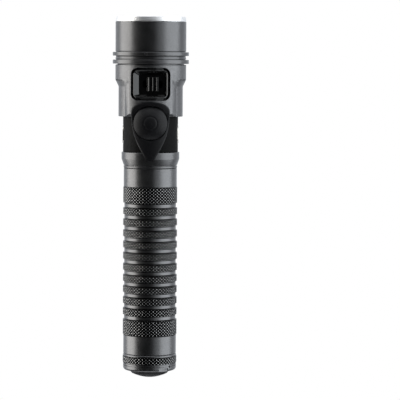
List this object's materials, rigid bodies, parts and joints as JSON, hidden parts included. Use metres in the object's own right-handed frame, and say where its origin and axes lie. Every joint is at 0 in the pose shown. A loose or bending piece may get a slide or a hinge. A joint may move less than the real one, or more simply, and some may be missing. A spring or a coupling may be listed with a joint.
{
  "type": "tactical flashlight",
  "caption": "Rechargeable tactical flashlight: round head with slide selector and domed push-button, charging neck, knurled ringed barrel, screw-on tail cap with rubber tail switch.",
  "frame": {"origin": "on the body axis, half way up the charging neck that a charger grips", "axes": "+Z along the body axis towards the lens, +X to the right with the switches facing the viewer, -Y towards the viewer, so the switches face -Y"},
  "size_m": [0.038, 0.0384, 0.1802],
  "materials": {
    "anodised_satin": "satin dark grey anodised, turned",
    "anodised_blasted": "fine bead-blasted dark grey anodised",
    "anodised_knurled": "satin dark grey anodised with diamond knurl",
    "polished_metal": "polished bright metal",
    "lens_glass": "clear coated flat glass",
    "mirror_coating": "vacuum-coated mirror",
    "gloss_black": "glossy black moulded plastic",
    "black_polymer": "matte black glass-filled polymer",
    "boot_rubber": "matte black moulded rubber",
    "seal_rubber": "black sealing rubber",
    "white_plastic": "white plastic",
    "white_board": "white solder mask on aluminium",
    "phosphor": "yellow phosphor under clear silicone",
    "raw_aluminium": "bare machined aluminium",
    "nickel": "nickel plated",
    "gold": "gold plated",
    "circuit": "green solder mask with plated pads",
    "cell_wrap": "plain blue heat-shrink wrap",
    "red_wire": "red insulation",
    "black_wire": "black insulation"
  },
  "bodies": {
    "body": {"face_bezel": "polished_metal", "lens": "lens_glass", "lens_gasket": "seal_rubber", "reflector": "mirror_coating", "led_centring_ring": "white_plastic", "led_emitter": "phosphor", "led_board": "white_board", "led_board_screw_left": "nickel", "led_board_screw_right": "nickel", "led_lead_positive": "red_wire", "led_lead_negative": "black_wire", "heat_sink": "raw_aluminium", "face_cap": "anodised_satin", "face_cap_seal": "seal_rubber", "head_housing": "anodised_blasted", "selector_bezel": "gloss_black", "selector_detent_leaf": "nickel", "selector_board": "circuit", "switch_boot": "boot_rubber", "tactile_switch": "black_polymer", "switch_board": "circuit", "neck_collar": "black_polymer", "charge_contact_left": "nickel", "charge_contact_right": "nickel", "lower_collar": "anodised_satin", "control_board": "circuit", "contact_carrier": "black_polymer", "front_contact_spring": "gold", "barrel": "anodised_knurled", "barrel_seal": "seal_rubber"},
    "selector": {"selector_slider": "gloss_black", "selector_shuttle": "black_polymer"},
    "push_button": {"head_button": "boot_rubber", "tactile_stem": "black_polymer"},
    "cell": {"battery_cell": "cell_wrap", "battery_positive_cap": "nickel"},
    "tail": {"tail_cap": "anodised_knurled", "tail_cap_seal": "seal_rubber", "tail_contact_board": "circuit", "tail_contact_spring": "gold", "tail_switch_body": "black_polymer", "boot_retaining_ring": "raw_aluminium"},
    "tail_button": {"tail_boot": "boot_rubber", "tail_plunger": "black_polymer"}
  },
  "joints": [
    {"name": "selector_slide", "type": "slide", "parent": "body", "child": "selector", "axis": [1, 0, 0], "range_m": [-0.003, 0.003]},
    {"name": "head_button_press", "type": "slide", "parent": "body", "child": "push_button", "axis": [0, 1, 0], "range_m": [0, 0.0012], "stiffness_N_per_m": 800},
    {"name": "tail_cap_back_off", "type": "slide", "parent": "body", "child": "cell", "axis": [0, 0, -1], "range_m": [0, 0.0091]},
    {"name": "tail_cap_turn", "type": "hinge", "parent": "cell", "child": "tail", "pos_m": [0, 0, -0.11], "axis": [0, 0, -1], "range_deg": [0, 2521]},
    {"name": "tail_button_press", "type": "slide", "parent": "tail", "child": "tail_button", "axis": [0, 0, 1], "range_m": [0, 0.0015], "stiffness_N_per_m": 800}
  ],
  "couplings": [
    {"joint": "tail_cap_turn", "follows": "tail_cap_back_off", "rad_per_m": 4833.2}
  ]
}
